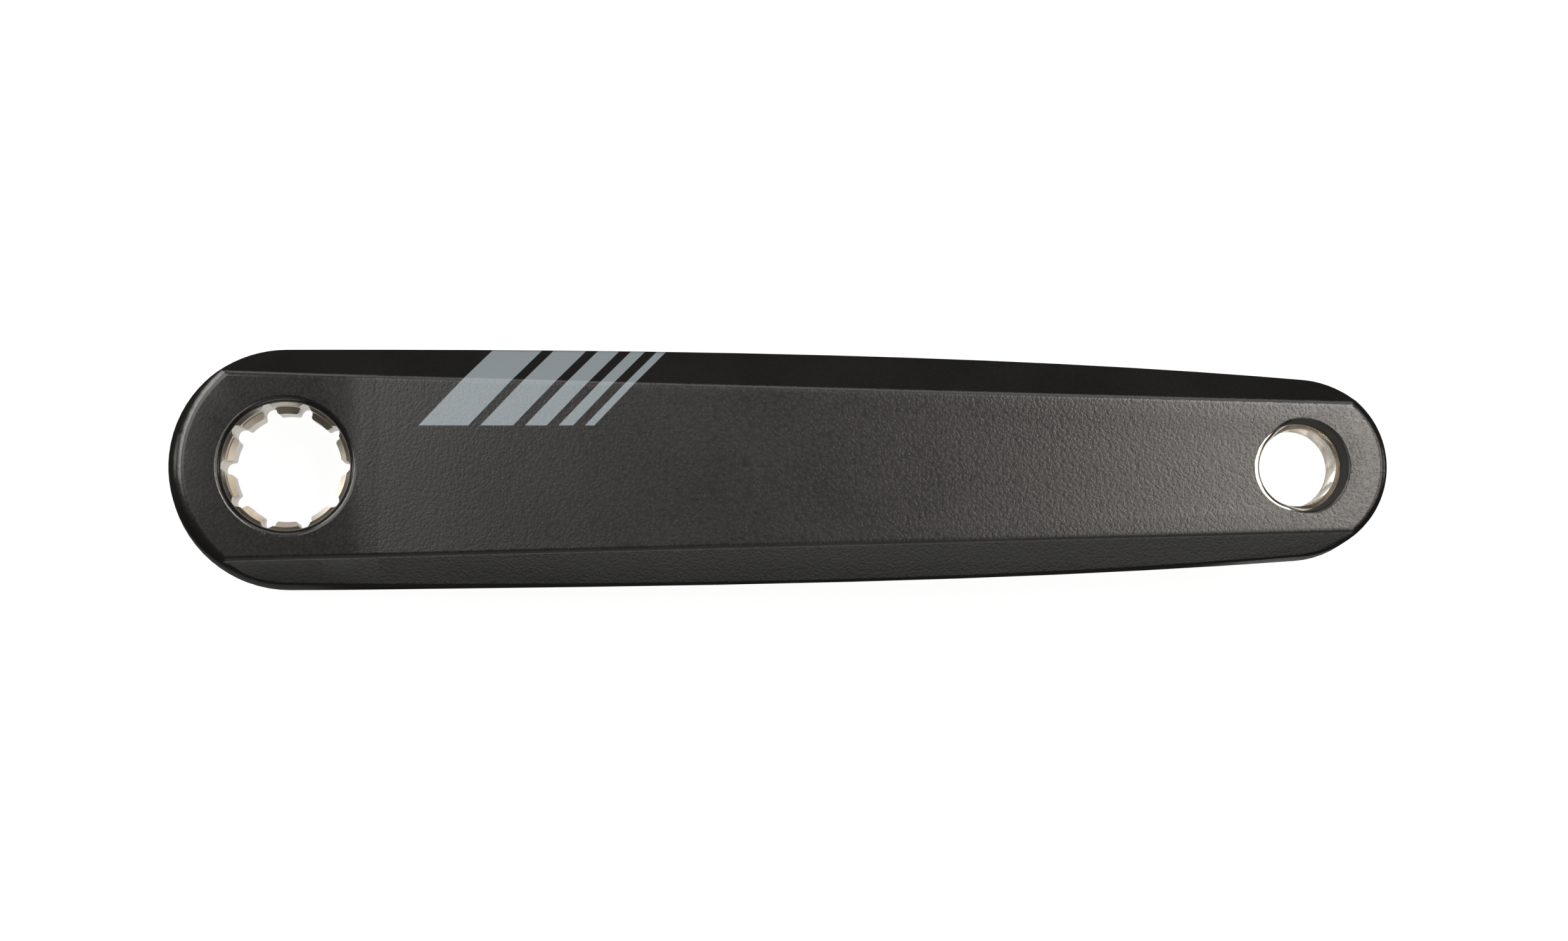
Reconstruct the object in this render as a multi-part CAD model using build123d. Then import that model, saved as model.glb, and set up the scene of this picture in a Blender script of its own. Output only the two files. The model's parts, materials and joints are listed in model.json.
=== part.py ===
from build123d import *
import math
import os

# A forged and machined crank arm, in millimetres. The spline bore's axis is Z and its back
# pad lies on Z = 0. The pedal hole is on +X, and the outer face looks up.

# Plan outline at the back plane, and at a front plane above the outer face. The long sides
# bulge more at the front, so that the draft of both ends fades out along the arm.
crank_length = 170.0
boss_radius = 21.0
end_radius = 16.9
back_side_radius = 9000.0
front_side_radius = 1300.0
front_plane_height = 36.0
draft_angle = 3.8

# Side profile
boss_thickness = 20.5
pedal_thickness = 14.0
fold_distance = 11.0
fold_radius = 110.0
face_rise_angle = 5.0
back_step = 3.0
back_round = 2.0

# Bevels along the two long edges of the outer face, whose flat middle stays these insets
# inside the plan outline's radii
bevel_angle = 45.0
bevel_inset_at_fold = 5.75
bevel_inset_at_pedal = 6.0
bevel_round = 1.5
pedal_end_round = 1.3

# Round of the boss's rim, widest at the far end. It meets the face and the wall at a slight
# angle and is turned about a centre on the arm, so it narrows towards both bevels.
boss_rim_round = 3.3
boss_rim_centre = 2.5
boss_rim_crease = 7.0

# Back pad around the spline
pad_radius = 17.5
pad_chamfer = 0.6

# Tapered spline, measured at the back pad
groove_count = 10
groove_root_radius = 11.0
groove_round = 1.25
tooth_tip_radius = 9.3
tooth_corner_round = 0.45
spline_taper = 0.3
spline_lead_in = 1.2

# Wide mouth of the bore at the outer face, which ends on the teeth's front faces
mouth_radius = 10.3
mouth_depth = 7.0
mouth_lip_round = 1.25
mouth_chamfer = 0.55

# Pedal hole, with a drafted recess at the outer face and a spot face at the back
pedal_hole_radius = 6.5
pedal_recess_radius = 7.85
pedal_recess_depth = 2.6
pedal_recess_floor_radius = 7.05
pedal_recess_round = 0.7
pedal_back_chamfer = 0.5
pedal_spot_radius = 10.0

# Cutting tools reach this far past the solid
clear = 5.0

rise = math.tan(math.radians(face_rise_angle))
end_inset = front_plane_height * math.tan(math.radians(draft_angle))
tip_x = crank_length + end_radius
flat_half_width_at_fold = boss_radius - bevel_inset_at_fold
flat_half_width_at_pedal = end_radius - bevel_inset_at_pedal


def face_height(x):
    return boss_thickness + max(0.0, x - fold_distance) * rise


pedal_face_height = face_height(crank_length)
pedal_spot_height = pedal_face_height - pedal_thickness
spot_far_edge = crank_length + pedal_spot_radius
back_slope = (pedal_spot_height - back_step) / (spot_far_edge - fold_distance)


def back_height(x):
    return back_step + max(0.0, x - fold_distance) * back_slope


def plan_outline(boss_arc, end_arc, side_arc):
    # Takes three radii. Each long side is one shallow arc that touches both end arcs.
    to_boss = side_arc - boss_arc
    to_end = side_arc - end_arc
    centre_x = (crank_length**2 + to_boss**2 - to_end**2) / (2 * crank_length)
    centre_y = -math.sqrt(to_boss**2 - centre_x**2)
    boss_touch_x = -centre_x * boss_arc / to_boss
    boss_touch_y = -centre_y * boss_arc / to_boss
    end_touch_x = crank_length + (crank_length - centre_x) * end_arc / to_end
    end_touch_y = -centre_y * end_arc / to_end
    middle_x = (boss_touch_x + end_touch_x) / 2
    middle_y = centre_y + math.sqrt(side_arc**2 - (middle_x - centre_x) ** 2)
    boss = ThreePointArc(
        (boss_touch_x, boss_touch_y), (-boss_arc, 0), (boss_touch_x, -boss_touch_y)
    )
    lower = ThreePointArc(
        (boss_touch_x, -boss_touch_y), (middle_x, -middle_y), (end_touch_x, -end_touch_y)
    )
    tip = ThreePointArc(
        (end_touch_x, -end_touch_y), (crank_length + end_arc, 0), (end_touch_x, end_touch_y)
    )
    upper = ThreePointArc(
        (end_touch_x, end_touch_y), (middle_x, middle_y), (boss_touch_x, boss_touch_y)
    )
    return make_face([boss, lower, tip, upper])


def drafted_body():
    back = plan_outline(boss_radius, end_radius, back_side_radius)
    front = plan_outline(boss_radius - end_inset, end_radius - end_inset, front_side_radius)
    return loft([back, Pos(0, 0, front_plane_height) * front], ruled=True)


def side_slab():
    near = -boss_radius - clear
    far = tip_x + clear
    profile = make_face(
        Polyline(
            (near, boss_thickness),
            (fold_distance, boss_thickness),
            (far, face_height(far)),
            (far, back_height(far)),
            (fold_distance, back_step),
            (near, back_step),
            close=True,
        )
    )
    folds = profile.vertices().filter_by(lambda corner: abs(corner.X - fold_distance) < 0.001)
    profile = fillet(folds, fold_radius)
    return extrude(Plane.XZ * profile, amount=boss_radius + clear, both=True)


def bevel_cut(side):
    # What stands above the outer face along the flat's straight edge, swept outwards and down
    run = crank_length - fold_distance
    narrowing = (flat_half_width_at_fold - flat_half_width_at_pedal) / run
    taper = math.atan(narrowing)
    along = Vector(math.cos(taper), -side * math.sin(taper), 0)
    outward = Vector(math.sin(taper), side * math.cos(taper), 0)
    middle_x = (tip_x - boss_radius) / 2
    middle_y = flat_half_width_at_fold - (middle_x - fold_distance) * narrowing
    upright = Plane(
        origin=(middle_x, side * middle_y, 0), x_dir=along, z_dir=along.cross(Vector(0, 0, 1))
    )
    curtain = upright * Rectangle(tip_x + boss_radius + clear, 4 * pedal_face_height)
    above = (curtain - side_slab()).faces().sort_by(Axis.Z)[-1]
    slope = math.radians(bevel_angle)
    downhill = outward * math.cos(slope) - Vector(0, 0, math.sin(slope))
    return extrude(above, amount=boss_thickness, dir=downhill)


def boss_rim_cut():
    draft = math.radians(draft_angle)
    reach_in = boss_rim_round * math.cos(math.radians(boss_rim_crease))
    round_height = boss_thickness - reach_in
    wall_radius = boss_radius - round_height * math.tan(draft)
    round_radius = boss_rim_centre + wall_radius - reach_in / math.cos(draft)
    middle = (math.pi / 2 + draft) / 2
    far = round_radius + boss_rim_round + clear
    top = boss_thickness + clear

    def on_round(angle):
        return (
            round_radius + boss_rim_round * math.cos(angle),
            round_height + boss_rim_round * math.sin(angle),
        )

    crown, foot = on_round(math.pi / 2), on_round(draft)
    outline = [
        ThreePointArc(crown, on_round(middle), foot),
        Polyline(foot, (far, foot[1]), (far, top), (round_radius, top), crown),
    ]
    ring = revolve(Plane.XZ * make_face(outline), Axis.Z)
    return Pos(boss_rim_centre, 0, 0) * split(ring, bisect_by=Plane.YZ, keep=Keep.BOTTOM)


def forged_arm():
    arm = drafted_body() & side_slab()
    back_edge = arm.edges().sort_by_distance((-boss_radius, 0, back_height(-boss_radius)))[0]
    arm = fillet(back_edge, back_round)

    # The two ends have rounds of their own, which the bevels cut off along the sides.
    middle = Plane(origin=(crank_length / 2, 0, 0), x_dir=(0, 1, 0), z_dir=(1, 0, 0))
    boss_half = split(arm, bisect_by=middle, keep=Keep.BOTTOM) - boss_rim_cut()
    pedal_half = split(arm, bisect_by=middle, keep=Keep.TOP)
    pedal_edge = pedal_half.edges().sort_by_distance((tip_x, 0, face_height(tip_x)))[0]
    pedal_half = fillet(pedal_edge, pedal_end_round)
    bevels = bevel_cut(1) + bevel_cut(-1)
    arm = (boss_half - bevels) + (pedal_half - bevels)

    return fillet(bevel_edges(arm), bevel_round)


def slopes_sideways(face):
    normal = face.normal_at()
    steep = math.sin(math.radians(bevel_angle)) / 2
    return abs(normal.Y) > steep and normal.Z > steep


def bevel_edges(arm):
    # The rims of both bevels, without the seams at the fold
    edges = ShapeList()
    for face in arm.faces().filter_by(slopes_sideways):
        edges += face.edges()
    return [edge for edge in edges if sum(edge.is_same(other) for other in edges) == 1]


def back_pad():
    pad = extrude(Circle(pad_radius), amount=boss_thickness / 2)
    return chamfer(pad.edges().sort_by(Axis.Z)[0], pad_chamfer)


def spline_void():
    round_centre = groove_root_radius - groove_round
    void = Circle(tooth_tip_radius)
    for spot in PolarLocations(round_centre, groove_count):
        void += spot * Circle(groove_round)
    void = fillet(void.vertices(), tooth_corner_round)
    lead_in = Cone(
        tooth_tip_radius + spline_lead_in,
        tooth_tip_radius,
        spline_lead_in,
        align=(Align.CENTER, Align.CENTER, Align.MIN),
    )
    return extrude(void, amount=boss_thickness + clear, taper=spline_taper) + lead_in


def mouth_void():
    rim_radius = mouth_radius + mouth_chamfer
    lip_radius = rim_radius + mouth_lip_round
    lip_foot = boss_thickness - mouth_lip_round
    bulge = mouth_lip_round * math.sqrt(0.5)
    floor = boss_thickness - mouth_depth
    outline = [
        Polyline((0, floor), (0, boss_thickness + clear), (lip_radius, boss_thickness + clear)),
        Line((lip_radius, boss_thickness + clear), (lip_radius, boss_thickness)),
        ThreePointArc(
            (lip_radius, boss_thickness),
            (lip_radius - bulge, lip_foot + bulge),
            (rim_radius, lip_foot),
        ),
        Polyline(
            (rim_radius, lip_foot),
            (mouth_radius, lip_foot - mouth_chamfer),
            (mouth_radius, floor),
            (0, floor),
        ),
    ]
    return revolve(Plane.XZ * make_face(outline), Axis.Z)


def pedal_void():
    recess_floor = pedal_face_height - pedal_recess_depth
    flare = (pedal_recess_radius - pedal_recess_floor_radius) / pedal_recess_depth
    chamfer_step = pedal_recess_floor_radius - pedal_hole_radius
    outline = Polyline(
        (0, pedal_spot_height),
        (0, pedal_face_height + clear),
        (pedal_recess_radius + clear * flare, pedal_face_height + clear),
        (pedal_recess_floor_radius, recess_floor),
        (pedal_hole_radius, recess_floor - chamfer_step),
        (pedal_hole_radius, pedal_spot_height + pedal_back_chamfer),
        (pedal_hole_radius + pedal_back_chamfer, pedal_spot_height),
        close=True,
    )
    spot_face = Pos(0, 0, pedal_spot_height) * Cylinder(
        pedal_spot_radius, clear, align=(Align.CENTER, Align.CENTER, Align.MAX)
    )
    return Pos(crank_length, 0, 0) * (revolve(Plane.XZ * make_face(outline), Axis.Z) + spot_face)


def crank_arm():
    arm = forged_arm() + back_pad()
    arm -= pedal_void()
    recess_edge_spot = (crank_length, pedal_recess_radius, pedal_face_height)
    arm = fillet(arm.edges().sort_by_distance(recess_edge_spot)[0], pedal_recess_round)
    return arm - mouth_void() - spline_void()


os.makedirs("parts", exist_ok=True)
export_step(crank_arm(), "parts/crank_arm.step")
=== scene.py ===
import json
import math

import bmesh
import bpy
from mathutils import Matrix, Vector


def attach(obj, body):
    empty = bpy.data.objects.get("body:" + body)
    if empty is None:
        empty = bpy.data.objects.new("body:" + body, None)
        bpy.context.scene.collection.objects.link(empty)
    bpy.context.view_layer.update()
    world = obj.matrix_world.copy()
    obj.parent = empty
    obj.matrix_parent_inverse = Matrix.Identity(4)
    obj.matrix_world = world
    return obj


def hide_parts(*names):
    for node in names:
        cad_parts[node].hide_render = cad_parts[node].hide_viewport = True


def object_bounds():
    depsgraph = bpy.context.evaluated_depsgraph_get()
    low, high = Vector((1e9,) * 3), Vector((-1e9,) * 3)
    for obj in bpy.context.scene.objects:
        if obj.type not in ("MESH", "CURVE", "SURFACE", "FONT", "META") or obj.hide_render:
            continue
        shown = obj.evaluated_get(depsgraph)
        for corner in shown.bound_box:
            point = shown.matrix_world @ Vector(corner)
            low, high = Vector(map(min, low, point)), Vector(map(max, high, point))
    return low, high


mm = 0.001

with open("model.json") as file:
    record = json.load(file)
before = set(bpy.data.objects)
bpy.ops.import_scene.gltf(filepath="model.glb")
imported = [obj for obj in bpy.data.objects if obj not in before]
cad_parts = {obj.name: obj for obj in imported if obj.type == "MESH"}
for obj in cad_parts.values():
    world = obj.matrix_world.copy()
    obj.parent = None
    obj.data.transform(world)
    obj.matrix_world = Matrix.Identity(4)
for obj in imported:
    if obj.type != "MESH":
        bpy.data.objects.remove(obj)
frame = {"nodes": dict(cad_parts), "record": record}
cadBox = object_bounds()
mounts = {mount["name"]: mount for mount in frame["record"]["mounts"]}
boreAxis = Vector(mounts["spline_bore"]["pos_m"])
pedalAxis = Vector(mounts["pedal_thread"]["pos_m"])
pedalDims = mounts["pedal_thread"]["dims"]
print("frame loaded:", ", ".join(sorted(frame["nodes"])))


class Link:
    # wraps an output socket, so that sums on it read as plain expressions
    def __init__(self, tree, socket=None):
        self.tree = tree
        self.socket = socket

    def node(self, kind, settings=None, sockets=None, output=0):
        made = self.tree.nodes.new(kind)
        for name, value in (settings or {}).items():
            setattr(made, name, value)
        for name, value in (sockets or {}).items():
            if isinstance(value, Link):
                self.tree.links.new(value.socket, made.inputs[name])
            else:
                made.inputs[name].default_value = value
        return Link(self.tree, made.outputs[output] if len(made.outputs) else None)

    def maths(self, operation, *terms):
        return self.node("ShaderNodeMath", {"operation": operation}, dict(enumerate(terms)))

    def __add__(self, other):
        return self.maths("ADD", self, other)

    def __radd__(self, other):
        return self.maths("ADD", other, self)

    def __sub__(self, other):
        return self.maths("SUBTRACT", self, other)

    def __rsub__(self, other):
        return self.maths("SUBTRACT", other, self)

    def __mul__(self, other):
        return self.maths("MULTIPLY", self, other)

    def __rmul__(self, other):
        return self.maths("MULTIPLY", other, self)

    def __truediv__(self, other):
        return self.maths("DIVIDE", self, other)

    def __pow__(self, other):
        return self.maths("POWER", self, other)

    def split(self):
        parts = self.node("ShaderNodeSeparateXYZ", None, {0: self}).socket.node.outputs
        return [Link(self.tree, part) for part in parts]

    def ramp(self, low, high):
        # 0 below low, 1 above high, and smooth between them; low may be the larger one
        return self.node(
            "ShaderNodeMapRange",
            {"interpolation_type": "SMOOTHSTEP"},
            {"Value": self, "From Min": low, "From Max": high},
        )

    def above(self, limit, soft):
        return self.ramp(limit - soft, limit + soft)

    def below(self, limit, soft):
        return self.ramp(limit + soft, limit - soft)

    def blend(self, low, high):
        # a colour between two, with this value as the share of the second
        return self.node(
            "ShaderNodeMix", {"data_type": "RGBA"}, {"Factor": self, 6: low, 7: high}, output=2
        )


def newMaterial(name):
    material = bpy.data.materials.new(name)
    material.use_nodes = True
    material.node_tree.nodes.clear()
    return material, Link(material.node_tree)


def fromAxis(x, y, axis, shift=(0, 0)):
    # distance from an upright axis, or from one that is shifted sideways
    return ((x - (axis.x + shift[0])) ** 2 + (y - (axis.y + shift[1])) ** 2) ** 0.5


# the arm's finish: a grained black coat, a print on it, and bare metal where it was machined
coat = {
    "black": (0.0100, 0.0098, 0.0094, 1),
    "roughness": 0.26,
    "specular": 0.83,
    "filmThickness": 0.06 * mm,
    "grainSize": 0.56 * mm,
    "grainHeight": 0.024 * mm,
    "grainGloss": 0.12,
    "grainMiddle": 0.7,
    "cellShare": 0.6,
    "cellSmoothness": 0.6,
    "fineShare": 0.8,  # finer grains between the rounded ones
    "fineSize": 0.45,
    "cloudSize": 14 * mm,
    "cloudRange": (0.3, 0.7),
    "cloudTint": 0.15,
    "cloudGloss": 0.02,
    "bossEnd": 12.6 * mm,  # the flat round the bore has less grain
    "bossBlend": 2.0 * mm,
    "bossGrain": 0.4,
    "bossRoughness": 0.23,
    "recessRoughness": 0.55,  # the coat in the pedal recess is matt
    "recessRadius": 7.75 * mm,
    "recessShift": (0.5 * mm, 0.15 * mm),
    "recessBlend": 0.2 * mm,
}
bareMetal = {
    # the warm tan of the bare metal and of its stains is a painted reflection of warm surroundings;
    # the stains vary at random
    "colour": (0.82, 0.78, 0.70, 1),
    "stain": (0.66, 0.59, 0.49, 1),
    "roughness": 0.24,
    "boreShadeColour": (0.42, 0.385, 0.325, 1),  # below the mouth's chamfer the metal is rougher, and painted darker: painted shade in the bore
    "boreShadeStain": (0.31, 0.27, 0.215, 1),
    "boreRoughness": 0.36,
    "boreEnd": 29.5 * mm,  # along the arm
    "boreEndBlend": 0.5 * mm,
    "boreFoot": 0.80 * mm,
    "boreTop": 18.65 * mm,
    "boreBlend": 0.05 * mm,
    "stainSize": 5 * mm,
    "stainRange": (0.4, 0.7),
    "toolMarkPitch": 0.22 * mm,
    "toolMarkHeight": 0.001 * mm,
    "toolMarkWander": 6.0,  # radians
    "wanderSize": 3 * mm,
}
bareEdges = {
    "raggedness": 0.07 * mm,
    "raggedSize": 0.9 * mm,
    "softness": 0.04 * mm,
    "mouthRadius": 10.87 * mm,  # the coat stops where the mouth's chamfer begins
    "mouthFoot": 18.4 * mm,
    "splineRadius": 11.5 * mm,
    "padRadius": 17.6 * mm,
    "padTop": 0.75 * mm,
    "pedalCutRadius": 7.31 * mm,  # the pedal hole was cut a little off the coated recess
    "pedalCutShift": (-0.23 * mm, -0.06 * mm),
    "spotRadius": 10.05 * mm,
}
stripes = {
    "colour": (0.27, 0.315, 0.35, 1),
    "count": 5,
    "start": 22.4 * mm,  # along the arm, at the lower end
    "lowerEnd": 6.9 * mm,  # across the arm
    "foot": 13.2 * mm,  # the bevel's lower edge, which rises along the arm
    "footRise": math.tan(math.radians(5)),
    "slant": 0.95,
    "width": 8.4 * mm,
    "shrink": 0.66,
    "gap": 2.0 * mm,
    "softness": 0.06 * mm,
}


def stripeMask(x, y, z):
    soft = stripes["softness"]
    along = x - (y - stripes["lowerEnd"]) * stripes["slant"]
    start, width = stripes["start"], stripes["width"]
    mask = 0
    for _ in range(stripes["count"]):
        mask = along.above(start, soft) * along.below(start + width, soft) + mask
        start += width + stripes["gap"]
        width *= stripes["shrink"]
    level = z - x * stripes["footRise"]
    return mask * level.above(stripes["foot"], soft) * y.above(stripes["lowerEnd"], soft)


def bareMask(x, y, z, ragged):
    soft = bareEdges["softness"]
    fromBore = fromAxis(x, y, boreAxis) + ragged
    fromCut = fromAxis(x, y, pedalAxis, bareEdges["pedalCutShift"]) + ragged
    fromPedal = fromAxis(x, y, pedalAxis)
    wallFoot = pedalAxis.z - pedalDims["length_mm"] * mm / 2
    mouth = fromBore.below(bareEdges["mouthRadius"], soft)
    spline = z.below(bareEdges["mouthFoot"], soft) * fromBore.below(bareEdges["splineRadius"], soft)
    pad = fromBore.below(bareEdges["padRadius"], soft) * z.below(bareEdges["padTop"], soft)
    pedalCut = fromCut.below(bareEdges["pedalCutRadius"], soft)
    spotFace = fromPedal.below(bareEdges["spotRadius"], soft) * z.below(wallFoot - soft, soft)
    mask = mouth
    for other in (spline, pad, pedalCut, spotFace):
        mask = mask.maths("MAXIMUM", mask, other)
    return mask


def boreMask(x, z):
    soft = bareMetal["boreBlend"]
    mask = x.below(bareMetal["boreEnd"], bareMetal["boreEndBlend"])
    return mask * z.below(bareMetal["boreTop"], soft) * z.above(bareMetal["boreFoot"], soft)


def armFinish():
    material, start = newMaterial("grained_black_coat")
    place = start.node("ShaderNodeTexCoord", output="Object")
    x, y, z = place.split()

    def noise(size, detail=2.0):
        return start.node(
            "ShaderNodeTexNoise", None, {"Vector": place, "Scale": 1 / size, "Detail": detail}
        )

    ragged = (noise(bareEdges["raggedSize"], 3) - 0.5) * (2 * bareEdges["raggedness"])
    bare = bareMask(x, y, z, ragged)
    bore = boreMask(x, z)
    boss = x.below(coat["bossEnd"], coat["bossBlend"])
    fromRecess = fromAxis(x, y, pedalAxis, coat["recessShift"])
    recess = fromRecess.below(coat["recessRadius"], coat["recessBlend"])

    # the relief: grains on the coat, tool marks on the metal, and the coat's edge between them
    cells = start.node(
        "ShaderNodeTexVoronoi",
        {"feature": "SMOOTH_F1"},
        {"Vector": place, "Scale": 1 / coat["grainSize"], "Smoothness": coat["cellSmoothness"]},
    )
    fine = noise(coat["fineSize"] * coat["grainSize"])
    grain = (1 - cells) * coat["cellShare"] + fine * coat["fineShare"]
    grainShare = 1 - boss * (1 - coat["bossGrain"])
    coatHeight = grain * grainShare * coat["grainHeight"] + coat["filmThickness"]
    wander = noise(bareMetal["wanderSize"]) * bareMetal["toolMarkWander"]
    wave = z * (2 * math.pi / bareMetal["toolMarkPitch"]) + wander
    metalHeight = wave.maths("SINE", wave) * bareMetal["toolMarkHeight"]
    height = coatHeight * (1 - bare) + metalHeight * bare
    bump = start.node("ShaderNodeBump", None, {"Strength": 1.0, "Distance": 1.0, "Height": height})

    # slight cloudiness in the coat, and stains on the bare metal, whose warm tan is a painted
    # reflection and which is painted darker inside the bore, as shade
    cloud = noise(coat["cloudSize"], 3)
    deep, pale = (
        tuple(share * level for level in coat["black"][:3]) + (1,)
        for share in (1 - coat["cloudTint"], 1 + coat["cloudTint"])
    )
    printed = stripeMask(x, y, z) * (1 - bare)
    paint = printed.blend(cloud.ramp(*coat["cloudRange"]).blend(deep, pale), stripes["colour"])
    stain = noise(bareMetal["stainSize"], 3).ramp(*bareMetal["stainRange"])
    bright = stain.blend(bareMetal["colour"], bareMetal["stain"])
    # inside the bore the stained metal is painted darker: painted shade
    shadedBoreMetal = stain.blend(bareMetal["boreShadeColour"], bareMetal["boreShadeStain"])
    colour = bare.blend(paint, bore.blend(bright, shadedBoreMetal))

    coatRough = coat["roughness"] + recess * (coat["recessRoughness"] - coat["roughness"])
    coatRough = coatRough + boss * (coat["bossRoughness"] - coat["roughness"])
    coatRough = coatRough + (grain - coat["grainMiddle"]) * coat["grainGloss"]
    coatRough = coatRough + (cloud - 0.5) * coat["cloudGloss"]
    duller = bareMetal["boreRoughness"] - bareMetal["roughness"]
    metalRough = bareMetal["roughness"] + bore * duller
    shader = start.node(
        "ShaderNodeBsdfPrincipled",
        None,
        {
            "Base Color": colour,
            "Metallic": bare,
            "Roughness": coatRough * (1 - bare) + metalRough * bare,
            "Specular IOR Level": coat["specular"],
            "Normal": bump,
        },
    )
    start.node("ShaderNodeOutputMaterial", None, {"Surface": shader})
    return material


armMaterial = armFinish()
print("finish made")

# the pedal thread, 20 turns to the inch, cut outwards from the plain wall of the hole
thread = {
    "pitch": 25.4 / 20 * mm,
    "depth": 0.40 * mm,  # shallow, so that the wall looks almost smooth from above
    "runout": 0.8 * mm,
    "rimGap": 0.02 * mm,
    "stepsAround": 96,
    "stepsPerTurn": 12,
    "crestShare": 0.45,
    "rootShare": 0.125,
    "weldGap": 0.001 * mm,
}


def threadTree():
    tree = bpy.data.node_groups.new("pedalThread", "GeometryNodeTree")
    sizes = ["Minor Radius", "Depth", "Pitch", "Bottom", "Length", "Runout", "Axis X", "Axis Y"]
    for name in sizes:
        tree.interface.new_socket(name, in_out="INPUT", socket_type="NodeSocketFloat")
    for name in ("Around", "Along"):
        tree.interface.new_socket(name, in_out="INPUT", socket_type="NodeSocketInt")
    tree.interface.new_socket("Finish", in_out="INPUT", socket_type="NodeSocketMaterial")
    tree.interface.new_socket("Geometry", in_out="OUTPUT", socket_type="NodeSocketGeometry")
    start = Link(tree)
    given = {s.name: Link(tree, s) for s in start.node("NodeGroupInput").socket.node.outputs}

    grid = start.node(
        "GeometryNodeMeshGrid",
        None,
        {"Size X": 1.0, "Size Y": 1.0, "Vertices X": given["Around"], "Vertices Y": given["Along"]},
    )
    column, row, _ = start.node("GeometryNodeInputPosition").split()
    turn = column + 0.5
    rise = (row + 0.5) * given["Length"]
    phase = rise / given["Pitch"] - turn
    swing = (phase - phase.maths("FLOOR", phase)) * 2 - 1
    share = 1 - swing.maths("ABSOLUTE", swing)
    flank = 1 - thread["crestShare"] - thread["rootShare"]
    cut = (share - thread["crestShare"]) / flank
    cut = cut.maths("MINIMUM", cut.maths("MAXIMUM", cut, 0.0), 1.0)
    fade = rise.maths("MINIMUM", rise, given["Length"] - rise) / given["Runout"]
    fade = fade.maths("MINIMUM", fade, 1.0)
    radius = given["Minor Radius"] + given["Depth"] * cut * fade
    angle = turn * (2 * math.pi)
    spot = start.node(
        "ShaderNodeCombineXYZ",
        None,
        {
            "X": given["Axis X"] + radius * angle.maths("COSINE", angle),
            "Y": given["Axis Y"] + radius * angle.maths("SINE", angle),
            "Z": given["Bottom"] + rise,
        },
    )
    moved = start.node("GeometryNodeSetPosition", None, {"Geometry": grid, "Position": spot})
    inward = start.node("GeometryNodeFlipFaces", None, {"Mesh": moved})
    weld = thread["weldGap"]
    closed = start.node("GeometryNodeMergeByDistance", None, {"Geometry": inward, "Distance": weld})
    real = start.node("GeometryNodeRealizeInstances", None, {"Geometry": closed})
    painted = start.node(
        "GeometryNodeSetMaterial", None, {"Geometry": real, "Material": given["Finish"]}
    )
    start.node("NodeGroupOutput", None, {"Geometry": painted})
    return tree


def threadMesh(material):
    length = pedalDims["length_mm"] * mm - 2 * thread["rimGap"]
    values = {
        "Minor Radius": pedalDims["r_mm"] * mm,
        "Depth": thread["depth"],
        "Pitch": thread["pitch"],
        "Bottom": pedalAxis.z - length / 2,
        "Length": length,
        "Runout": thread["runout"],
        "Axis X": pedalAxis.x,
        "Axis Y": pedalAxis.y,
        "Around": thread["stepsAround"] + 1,
        "Along": round(length / thread["pitch"] * thread["stepsPerTurn"]) + 1,
        "Finish": material,
    }
    tree = threadTree()
    holder = bpy.data.objects.new("threadHolder", bpy.data.meshes.new("threadHolder"))
    bpy.context.scene.collection.objects.link(holder)
    modifier = holder.modifiers.new("thread", "NODES")
    modifier.node_group = tree
    for item in tree.interface.items_tree:
        if item.in_out == "INPUT":
            modifier[item.identifier] = values[item.name]
    graph = bpy.context.evaluated_depsgraph_get()
    mesh = bpy.data.meshes.new_from_object(holder.evaluated_get(graph), depsgraph=graph)
    bpy.data.objects.remove(holder)
    return mesh


# the teeth's front faces fall slightly towards the bore's axis
toothFronts = {
    "height": 13.5 * mm,
    "tolerance": 0.002 * mm,
    "radius": 10.3 * mm,
    "fall": math.tan(math.radians(20)),
}


def coneToothFronts(shape):
    for vert in shape.verts:
        inside = toothFronts["radius"] - math.hypot(vert.co.x, vert.co.y)
        offFront = abs(vert.co.z - toothFronts["height"])
        if offFront < toothFronts["tolerance"] and inside > 0:
            vert.co.z -= inside * toothFronts["fall"]


# the pedal hole's machined edge, which has eaten most of the recess on one side: three radii of
# the recess, from its floor to the face, and where the cut moves them
pedalEdge = {
    "towards": math.radians(195),
    "full": math.radians(60),
    "none": math.radians(95),
    "foot": 31.5 * mm,
    "innerReach": 6.95 * mm,
    "outerReach": 8.6 * mm,
    "from": (7.05 * mm, 7.66 * mm, 8.37 * mm),
    "to": (6.66 * mm, 6.80 * mm, 7.44 * mm),
}


def fromPedalAxis(point):
    return math.hypot(point.x - pedalAxis.x, point.y - pedalAxis.y)


def cutPedalEdge(shape):
    low, middle, high = pedalEdge["from"]
    lowTo, middleTo, highTo = pedalEdge["to"]
    for vert in shape.verts:
        radius = fromPedalAxis(vert.co)
        inReach = pedalEdge["innerReach"] < radius < pedalEdge["outerReach"]
        if vert.co.z < pedalEdge["foot"] or not inReach:
            continue
        angle = math.atan2(vert.co.y - pedalAxis.y, vert.co.x - pedalAxis.x)
        off = abs(math.remainder(angle - pedalEdge["towards"], 2 * math.pi))
        share = (pedalEdge["none"] - off) / (pedalEdge["none"] - pedalEdge["full"])
        share = min(max(share, 0), 1)
        if radius > middle:
            cut = middleTo + (radius - middle) * (highTo - middleTo) / (high - middle)
        else:
            cut = lowTo + (radius - low) * (middleTo - lowTo) / (middle - low)
        scale = 1 + share * (cut / radius - 1)
        vert.co.x = pedalAxis.x + (vert.co.x - pedalAxis.x) * scale
        vert.co.y = pedalAxis.y + (vert.co.y - pedalAxis.y) * scale


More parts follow.
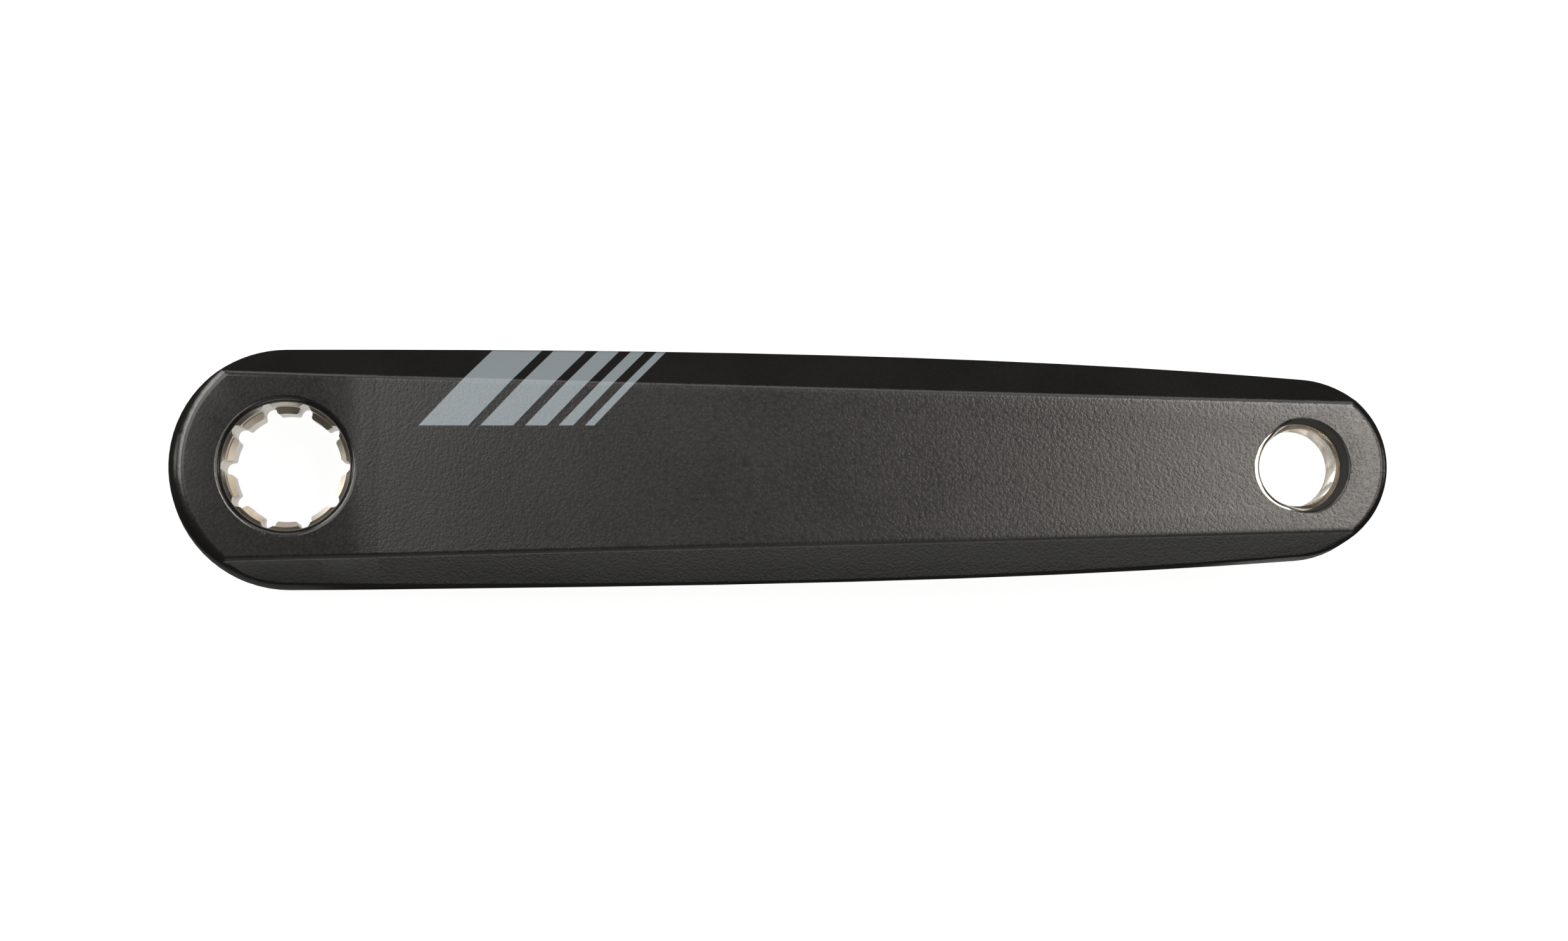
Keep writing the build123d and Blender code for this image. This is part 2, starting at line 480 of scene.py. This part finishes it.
# the machined solid with its loose triangles merged, and the thread in place of the plain wall
armShape = {"mergeGap": 0.001 * mm, "wallTolerance": 0.004 * mm, "sharpAngle": math.radians(28)}


def armMesh(node):
    shape = bmesh.new()
    shape.from_mesh(node.data)
    bmesh.ops.remove_doubles(shape, verts=shape.verts, dist=armShape["mergeGap"])
    radius, tolerance = pedalDims["r_mm"] * mm, armShape["wallTolerance"]
    onWall = {v for v in shape.verts if abs(fromPedalAxis(v.co) - radius) < tolerance}
    wall = [f for f in shape.faces if all(v in onWall for v in f.verts)]
    bmesh.ops.delete(shape, geom=wall, context="FACES")
    coneToothFronts(shape)
    cutPedalEdge(shape)
    shape.from_mesh(threadMesh(armMaterial))
    openEdges = [e for e in shape.edges if e.is_boundary]
    for upper in (False, True):
        rim = [e for e in openEdges if (e.verts[0].co.z > pedalAxis.z) == upper]
        bmesh.ops.bridge_loops(shape, edges=rim)
    bmesh.ops.triangulate(shape, faces=[f for f in shape.faces if len(f.verts) > 4])
    bmesh.ops.recalc_face_normals(shape, faces=shape.faces)
    print("arm: wall faces", len(wall), "open edges left", sum(e.is_boundary for e in shape.edges))
    for face in shape.faces:
        face.smooth = True
        face.material_index = 0
    mesh = bpy.data.meshes.new("crankArm")
    shape.to_mesh(mesh)
    shape.free()
    # the loaded normals no longer fit the merged shape
    mesh.attributes.remove(mesh.attributes["custom_normal"])
    mesh.set_sharp_from_angle(angle=armShape["sharpAngle"])
    mesh.materials.clear()
    mesh.materials.append(armMaterial)
    return mesh


arm = bpy.data.objects.new("crankArm", armMesh(frame["nodes"]["crank_arm"]))
bpy.context.scene.collection.objects.link(arm)
evenNormals = arm.modifiers.new("evenNormals", "WEIGHTED_NORMAL")
evenNormals.keep_sharp = True
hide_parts("crank_arm")
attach(arm, "root")
print("arm made:", len(arm.data.polygons), "faces")

# a plain table: the camera sees it white, with the arm's faint shadow; reflections find it dark,
# apart from a painted pool of light, a white glow under the two holes, where the metal is bare
floor = {
    "halfSize": 3.0,
    "drop": 0.2 * mm,
    "white": 0.95,
    "shadowShare": 0.15,
    "dark": (0.05, 0.05, 0.05, 1),
    "glowPoolRadius": 17 * mm,  # the painted pool of light, about the holes' axes
    "glowPoolBlend": 7 * mm,
}


def floorFinish():
    material, start = newMaterial("white_table")
    path = start.node("ShaderNodeLightPath").socket.node.outputs
    seen, through, mirrored = (
        Link(start.tree, path[f"Is {ray} Ray"]) for ray in ("Camera", "Transmission", "Glossy")
    )
    x, y, _ = start.node("ShaderNodeTexCoord", output="Object").split()
    away = seen.maths("MINIMUM", fromAxis(x, y, boreAxis), fromAxis(x, y, pedalAxis))
    # glossy rays near the holes see the white glow: painted light for the bare metal to reflect
    mirrored = mirrored * away.below(floor["glowPoolRadius"], floor["glowPoolBlend"])
    for other in (through, mirrored):
        seen = seen.maths("MAXIMUM", seen, other)
    white, share = floor["white"], floor["shadowShare"]
    glow = start.node("ShaderNodeEmission", None, {"Color": (white, white, white, 1)})
    shade = start.node("ShaderNodeBsdfDiffuse", None, {"Color": (share, share, share, 1)})
    lit = start.node("ShaderNodeAddShader", None, {0: glow, 1: shade})
    plain = start.node("ShaderNodeBsdfDiffuse", None, {"Color": floor["dark"]})
    top = start.node("ShaderNodeMixShader", None, {0: seen, 1: plain, 2: lit})
    clear = start.node("ShaderNodeBsdfTransparent")
    under = start.node("ShaderNodeNewGeometry", output="Backfacing")
    surface = start.node("ShaderNodeMixShader", None, {0: under, 1: top, 2: clear})
    start.node("ShaderNodeOutputMaterial", None, {"Surface": surface})
    material.cycles.emission_sampling = "NONE"
    return material


def makeFloor():
    half, level = floor["halfSize"], cadBox[0].z - floor["drop"]
    corners = [(half * x, half * y, level) for x, y in ((-1, -1), (1, -1), (1, 1), (-1, 1))]
    mesh = bpy.data.meshes.new("table")
    mesh.from_pydata(corners, [], [(0, 1, 2, 3)])
    mesh.materials.append(floorFinish())
    table = bpy.data.objects.new("table", mesh)
    bpy.context.scene.collection.objects.link(table)


makeFloor()

# soft boxes above and beside the camera, which leave the middle of the arm darker, and low ones
# that catch its rims and bevels
armMiddle = (0.083, 0, 0.025)
lamps = {
    "rightKey": {
        "place": (0.2, 0.205, 0.62),
        "aim": (0.14, 0.08, 0.02),
        "size": (0.08, 0.4),
        "watts": 1.35,
    },
    "rightFront": {
        "place": (0.2, -0.18, 0.62),
        "aim": (0.14, -0.08, 0.02),
        "size": (0.12, 0.34),
        "watts": 0.42,
    },
    "left": {
        "place": (-0.223, 0.205, 0.62),
        "aim": (-0.071, 0.08, 0.02),
        "size": (0.255, 0.4),
        "watts": 0.75,
    },
    "lowLeft": {
        "place": (-0.9, 0.1, 0.22),
        "aim": armMiddle,
        "size": (0.3, 0.2),
        "watts": 0.38,
    },
    "leftRim": {
        "place": (-0.52, 0.3, 0.5),
        "aim": (0, 0, 0.02),
        "size": (0.25, 0.75),
        "watts": 3.0,
    },
    "farRight": {
        "place": (0.52, 0.05, 0.6),
        "aim": (0.17, 0, 0.03),
        "size": (0.26, 0.4),
        "watts": 0.98,
    },
    "lowRight": {
        "place": (0.95, 0.05, 0.2),
        "aim": armMiddle,
        "size": (0.3, 0.2),
        "watts": 0.45,
    },
    "back": {
        "place": (0.1, 0.7, 0.45),
        "aim": armMiddle,
        "size": (0.6, 0.4),
        "watts": 1.0,
    },
    "frontHigh": {
        "place": (0.1, -0.55, 0.5),
        "aim": armMiddle,
        "size": (0.6, 0.4),
        "watts": 0.21,
    },
    "front": {
        "place": (0.08, -0.8, 0.2),
        "aim": armMiddle,
        "size": (0.6, 0.3),
        "watts": 0.54,
    },
}
warmth = {"rightFrom": 0.15, "right": (1.0, 0.93, 0.87), "other": (1.0, 0.99, 0.95)}
studio = {"colour": (1, 1, 1, 1), "strength": 0.01}


def lookFrom(thing, place, aim, turn=0):
    # the arm's +Y is up in the picture, apart from a slight turn
    forward = (Vector(aim) - Vector(place)).normalized()
    right = forward.cross(Vector((0, 1, 0))).normalized()
    axes = Matrix((right, right.cross(forward), -forward)).transposed()
    thing.location = place
    thing.rotation_euler = (axes @ Matrix.Rotation(turn, 3, "Z")).to_euler()


def makeLamps():
    for name, lamp in lamps.items():
        light = bpy.data.lights.new(name, "AREA")
        light.shape = "RECTANGLE"
        light.size, light.size_y = lamp["size"]
        light.energy = lamp["watts"]
        light.color = warmth["right" if lamp["place"][0] > warmth["rightFrom"] else "other"]
        box = bpy.data.objects.new(name, light)
        bpy.context.scene.collection.objects.link(box)
        lookFrom(box, lamp["place"], lamp["aim"])
    world = bpy.data.worlds.new("studio")
    world.use_nodes = True
    world.node_tree.nodes.clear()
    start = Link(world.node_tree)
    sky = start.node(
        "ShaderNodeBackground", None, {"Color": studio["colour"], "Strength": studio["strength"]}
    )
    start.node("ShaderNodeOutputWorld", None, {"Surface": sky})
    bpy.context.scene.world = world


makeLamps()
print("studio made:", len(lamps), "lamps")

# above the arm, towards the spline end and a little below the arm's axis in the picture
camera = {
    "place": (45.67 * mm, -35.36 * mm, 815.1 * mm),
    "aim": (84.07 * mm, -0.50 * mm, 23 * mm),
    "lens": 107.91,
    "sensor": 36.0,
    "clip": (0.01, 50),
    "turn": math.radians(0.14),
}


def makeCamera():
    view = bpy.data.cameras.new("camera")
    view.lens = camera["lens"]
    view.sensor_width = camera["sensor"]
    view.clip_start, view.clip_end = camera["clip"]
    stand = bpy.data.objects.new("camera", view)
    bpy.context.scene.collection.objects.link(stand)
    lookFrom(stand, camera["place"], camera["aim"], camera["turn"])
    bpy.context.scene.camera = stand


makeCamera()
bpy.context.scene.view_settings.view_transform = "Standard"
